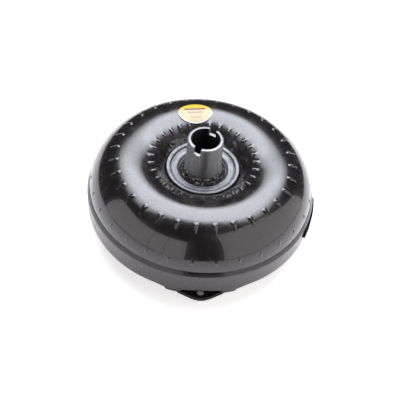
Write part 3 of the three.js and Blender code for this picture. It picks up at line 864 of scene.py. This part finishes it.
def cast_aluminium():
    paint = Paint("cast_aluminium").set(Metallic=1.0)
    grain = paint.noise(1100, 4)
    greys = [(0.3, (0.55, 0.56, 0.57)), (0.7, (0.7, 0.71, 0.72))]
    paint.lay("Base Color", paint.colours(paint.noise(70, 4), greys))
    paint.lay("Roughness", paint.span(grain, 0.4, 0.6))
    paint.bump(grain, 0.06)
    return paint.material


def spring_steel():
    paint = Paint("spring_steel").set(Metallic=1.0)
    blotch = paint.noise(300, 3)
    paint.lay("Base Color", paint.colours(blotch, [(0.3, (0.16, 0.17, 0.2)), (0.7, (0.34, 0.34, 0.35))]))
    paint.lay("Roughness", paint.span(blotch, 0.25, 0.4))
    paint.bump(paint.noise(2500, 2), 0.01)
    return paint.material


def label_film():
    """Gold above, cream below, a white lower border and plain stripes."""
    paint = Paint("label_film").set(Roughness=0.4, Coat_Weight=0.25, Coat_Roughness=0.12)
    turned = paint.node("ShaderNodeMapping", vector_type="TEXTURE")
    paint.tree.links.new(paint.point, turned.inputs["Vector"])
    turn, away = math.radians(LABEL["turn"]), LABEL["r"] * MM
    turned.inputs["Location"].default_value = (away * math.cos(turn), away * math.sin(turn), 0)
    turned.inputs["Rotation"].default_value = (0, 0, turn - math.pi / 2)
    turned.inputs["Scale"].default_value = (LABEL["wide"] * MM, LABEL["high"] * MM, 1)
    split = paint.node("ShaderNodeSeparateXYZ")
    paint.tree.links.new(turned.outputs[0], split.inputs[0])
    across, up = split.outputs[0], split.outputs[1]
    squares = [paint.math("MULTIPLY", value, value) for value in (across, up)]
    far = paint.math("SQRT", paint.math("ADD", *squares))

    def within(value, middle, half):
        return paint.math("LESS_THAN", paint.math("ABSOLUTE", paint.math("SUBTRACT", value, middle)), half)

    def stripe(height, half_height, half_width):
        return paint.math("MULTIPLY", within(up, height, half_height), within(across, 0, half_width))

    cream, gold, white = (0.42, 0.33, 0.17), (0.48, 0.34, 0.004), (0.47, 0.46, 0.45)
    face = paint.mixed(cream, gold, paint.span(up, 0, 1, 0.25, 0.5))
    for colour, mask in (
        ((0.12, 0.03, 0.006), stripe(0.40, 0.10, 0.60)),
        ((0.27, 0.18, 0.12), stripe(0.02, 0.10, 0.44)),
        ((0.30, 0.22, 0.13), stripe(-0.44, 0.07, 0.34)),
    ):
        face = paint.mixed(face, colour, mask)
    lower = paint.math("LESS_THAN", up, 0.0)
    border = paint.math("MULTIPLY", paint.math("GREATER_THAN", far, 0.9), lower)
    return paint.lay("Base Color", paint.mixed(face, white, border)).material


# ------------------------------------------------------------------ studio
MIDDLE = Vector((0, 0, (SEAM + 20) * MM))


def toward(azimuth, elevation, distance):
    """A point seen from the object's middle; azimuth 0 is behind the object and 90 to its right."""
    a, e = math.radians(azimuth), math.radians(elevation)
    return MIDDLE + distance * Vector((math.sin(a) * math.cos(e), math.cos(a) * math.cos(e), math.sin(e)))


def glowing(name, mesh, colour, strength, soft=0):
    """A piece that glows and that the camera doesn't see. A square one fades over the share called soft."""
    panel = bpy.data.objects.new(name, mesh)
    bpy.context.scene.collection.objects.link(panel)
    panel.visible_camera = False
    glow = Paint(name)
    glow.tree.nodes.remove(glow.surface)
    emission = glow.node("ShaderNodeEmission")
    emission.inputs["Color"].default_value = (*colour, 1)
    if soft:
        split = glow.node("ShaderNodeSeparateXYZ")
        glow.tree.links.new(glow.point, split.inputs[0])
        fades = [glow.span(glow.math("ABSOLUTE", split.outputs[k]), 1, 0, 1 - soft, 1) for k in (0, 1)]
        level = glow.math("MULTIPLY", glow.math("MULTIPLY", fades[0], fades[1]), strength)
        glow.tree.links.new(level, emission.inputs["Strength"])
    else:
        emission.inputs["Strength"].default_value = strength
    output = glow.tree.nodes["Material Output"]
    glow.tree.links.new(emission.outputs[0], output.inputs["Surface"])
    mesh.materials.append(glow.material)
    return panel


def softbox(name, centre, facing, size, colour, strength, soft):
    mesh = bpy.data.meshes.new(name)
    mesh.from_pydata([(-1, -1, 0), (1, -1, 0), (1, 1, 0), (-1, 1, 0)], [], [(0, 1, 2, 3)])
    panel = glowing(name, mesh, colour, strength, soft)
    panel.location = centre
    panel.rotation_euler = (facing - centre).to_track_quat("Z", "Y").to_euler()
    panel.scale = (size[0] / 2, size[1] / 2, 1)


def curved_panel(name, tops, distance, colour, strength):
    """A standing screen whose top runs through (azimuth, elevation) points."""
    azimuths = np.linspace(tops[0][0], tops[-1][0], 24)
    heights = np.interp(azimuths, *zip(*tops))
    foot = [toward(a, -5, distance) for a in azimuths]
    head = [toward(a, e, distance) for a, e in zip(azimuths, heights)]
    count = len(foot)
    mesh = bpy.data.meshes.new(name)
    mesh.from_pydata(foot + head, [], [(k, k + 1, k + 1 + count, k + count) for k in range(count - 1)])
    glowing(name, mesh, colour, strength)


def lights():
    """One big softbox above and behind, screens left and right, and a glow from below."""
    softbox("softbox", toward(0, 66, 1.5), MIDDLE, (2.5, 1.7), (0.90, 0.935, 1.0), 8.0, 0.52)
    softbox("underside_glow", Vector((0, 0, -0.35)), MIDDLE, (1.6, 1.6), (1, 1, 1), 1.0, 0.5)
    screen, distance, height = (1.0, 0.945, 0.96), 1.6, 37
    curved_panel("right_screen", [(67, 20), (90, 50), (110, 57), (154, 57)], distance, screen, 1.4)
    for number, (start, end) in enumerate([(-173, -155.3), (-154.7, -140.3), (-139.7, -91)], 1):
        curved_panel(f"left_screen_{number}", [(start, height), (end, height)], distance, screen, 1.35)


def floor_finish():
    """A pale ground that glows for the camera, so that it stays white up to the object's shadow."""
    ground = Paint("floor").set(Base_Color=(0.85, 0.82, 0.815, 1), Roughness=0.9, Specular_IOR_Level=0.1)
    seen = ground.node("ShaderNodeLightPath").outputs["Is Camera Ray"]
    # A spot under the front lug doesn't glow, a painted shadow of the lug, so that its bolt hole looks dark.
    strength, spot_reach, spot_radius, soft_edge = 0.6, 0.134, 0.009, 0.003
    turn = math.radians(LUG_TURNS[0])
    under_lug = ground.node("ShaderNodeVectorMath", operation="DISTANCE")
    ground.tree.links.new(ground.point, under_lug.inputs[0])
    under_lug.inputs[1].default_value = (spot_reach * math.cos(turn), spot_reach * math.sin(turn), 0)
    shade = ground.span(under_lug.outputs["Value"], 0, strength, spot_radius, spot_radius + soft_edge)
    ground.set(Emission_Color=(1, 1, 1, 1)).lay("Emission Strength", ground.math("MULTIPLY", seen, shade))
    # Seen from below the floor is clear, and close to the axis it lets the glow through to the underside.
    opening = 0.11
    unseen = ground.math("LESS_THAN", seen, 0.5)
    clear = ground.math("MULTIPLY", unseen, ground.math("LESS_THAN", ground.radius(), opening))
    clear = ground.math("MAXIMUM", clear, ground.node("ShaderNodeNewGeometry").outputs["Backfacing"])
    one_sided = ground.node("ShaderNodeMixShader")
    ground.tree.links.new(clear, one_sided.inputs["Fac"])
    ground.tree.links.new(ground.surface.outputs[0], one_sided.inputs[1])
    ground.tree.links.new(ground.node("ShaderNodeBsdfTransparent").outputs[0], one_sided.inputs[2])
    ground.tree.links.new(one_sided.outputs[0], ground.tree.nodes["Material Output"].inputs["Surface"])
    return ground.material


def floor():
    radius, sides = 0.85, 96
    turns = np.linspace(0, 2 * math.pi, sides, endpoint=False)
    mesh = bpy.data.meshes.new("floor")
    rim = [(radius * math.cos(a), radius * math.sin(a), 0) for a in turns]
    mesh.from_pydata(rim, [], [tuple(range(sides))])
    mesh.materials.append(floor_finish())
    made = bpy.data.objects.new("floor", mesh)
    bpy.context.scene.collection.objects.link(made)


def backdrop():
    """A world that is white for the camera and nearly dark for everything else."""
    world = bpy.data.worlds.new("studio")
    bpy.context.scene.world = world
    world.use_nodes = True
    tree = world.node_tree
    path = tree.nodes.new("ShaderNodeLightPath")
    level = tree.nodes.new("ShaderNodeMapRange")
    tree.links.new(path.outputs["Is Camera Ray"], level.inputs["Value"])
    level.inputs["To Min"].default_value, level.inputs["To Max"].default_value = 0.05, 1.0
    background = tree.nodes["Background"]
    background.inputs["Color"].default_value = (1, 1, 1, 1)
    tree.links.new(level.outputs["Result"], background.inputs["Strength"])
    bpy.context.scene.view_settings.view_transform = "Standard"


def camera():
    """A view down at the front, rolled a little and aimed just below the seam's centre."""
    elevation, distance, roll = math.radians(47.15), 1.1375, math.radians(6.2)
    aim_right, aim_up = -0.00097, -0.01747
    made = bpy.data.objects.new("camera", bpy.data.cameras.new("camera"))
    bpy.context.scene.collection.objects.link(made)
    made.data.lens = 74.18
    back = Vector((0, -math.cos(elevation), math.sin(elevation)))
    side = Vector((1, 0, 0))
    up = back.cross(side)
    right = side * math.cos(roll) + up * math.sin(roll)
    top = up * math.cos(roll) - side * math.sin(roll)
    forward = (-back + right * aim_right + top * aim_up).normalized()
    right = (right - forward * right.dot(forward)).normalized()
    top = right.cross(forward)
    axes = Matrix((right, top, -forward)).transposed()
    made.matrix_world = Matrix.Translation(Vector((0, 0, SEAM * MM)) + back * distance) @ axes.to_4x4()
    bpy.context.scene.camera = made


# ------------------------------------------------------------------ assembly
materials = {
    "black_paint": black_paint(),
    "bead_paint": black_paint("bead_paint", 0.45),
    "lug_paint": lug_paint(),
    "turned_steel": turned_steel(),
    "bearing_steel": turned_steel("bearing_steel", (0.7, 0.71, 0.73), (0.1, 0.2), 0.9),
    "weld_steel": weld_steel(),
    "sheet_steel": sheet_steel(),
    "cast_aluminium": cast_aluminium(),
    "spring_steel": spring_steel(),
    "label_film": label_film(),
    "tube_steel": tube_steel(),
    "weight_paint": weight_paint(),
}
slots = {entry["node"]: entry["material_slot"] for entry in frame["record"]["subparts"]}
node_body = {n: body for body, members in frame["record"]["behaviour"]["bodies"].items() for n in members}


def stand_for(piece, node, finish=None):
    """A piece takes its node's place, body and finish."""
    piece.data.materials.clear()
    piece.data.materials.append(materials[finish or slots[node]])
    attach(piece, node_body[node])
    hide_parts(node)


stand_for(shell(), "impeller_shell")
stand_for(cover(), "front_cover")
stand_for(closure_bead(), "closure_weld_bead", "bead_paint")
stand_for(balance_weight(), "balance_weight", "weight_paint")
for number, turn in enumerate(LUG_TURNS, 1):
    stand_for(lug(number, turn), f"flexplate_lug_{number}")
stand_for(label(), "label")
stand_for(hub_flange(), "hub_flange")
stand_for(hub_tube(), "pump_drive_hub", "tube_steel")
stand_for(hub_bead(), "hub_weld_bead")
stand_for(crank_pilot(), "crank_pilot")

stand_for(impeller_fins(), "impeller_fins")
stand_for(turbine_shell(), "turbine_shell")
stand_for(turbine_fins(), "turbine_fins")
stand_for(turbine_hub(), "turbine_hub")
stand_for(stator_wheel(), "stator_wheel")
stand_for(stator_cam(), "stator_cam")
stand_for(stator_race(), "stator_inner_race")
stand_for(retainer(), "clutch_retainer")
stand_for(snap_ring(), "snap_ring")
for number in range(1, RIVETS + 1):
    rivet = f"turbine_rivet_{number}"
    tall = np.subtract(*span_of(rivet)[::-1])
    lower_head = [(0, 0, 0), (4.2, 0, 1.6), (4.6, 2, 0.2), (3, 2, 0.1)]
    upper_head = [(r, tall - z, size) for r, z, size in lower_head[::-1]]
    stand_for(bar(rivet, lower_head + upper_head), rivet)
for number, turn in enumerate(all_round(ROLLERS), 1):
    roller = f"clutch_roller_{number}"
    tall = np.subtract(*span_of(roller)[::-1])
    stand_for(bar(roller, [(0, 0, 0), (4, 0, 0.7), (4, tall, 0.7), (0, tall, 0)]), roller)
    stand_for(clutch_spring(turn), f"clutch_spring_{number}")
for place in ("front", "middle", "rear"):
    for side in ("lower", "upper"):
        stand_for(bearing_race(f"{place}_bearing_{side}_race"), f"{place}_bearing_{side}_race")
    stand_for(needle_cage(f"{place}_bearing_needle_cage"), f"{place}_bearing_needle_cage")

lights()
floor()
backdrop()
camera()
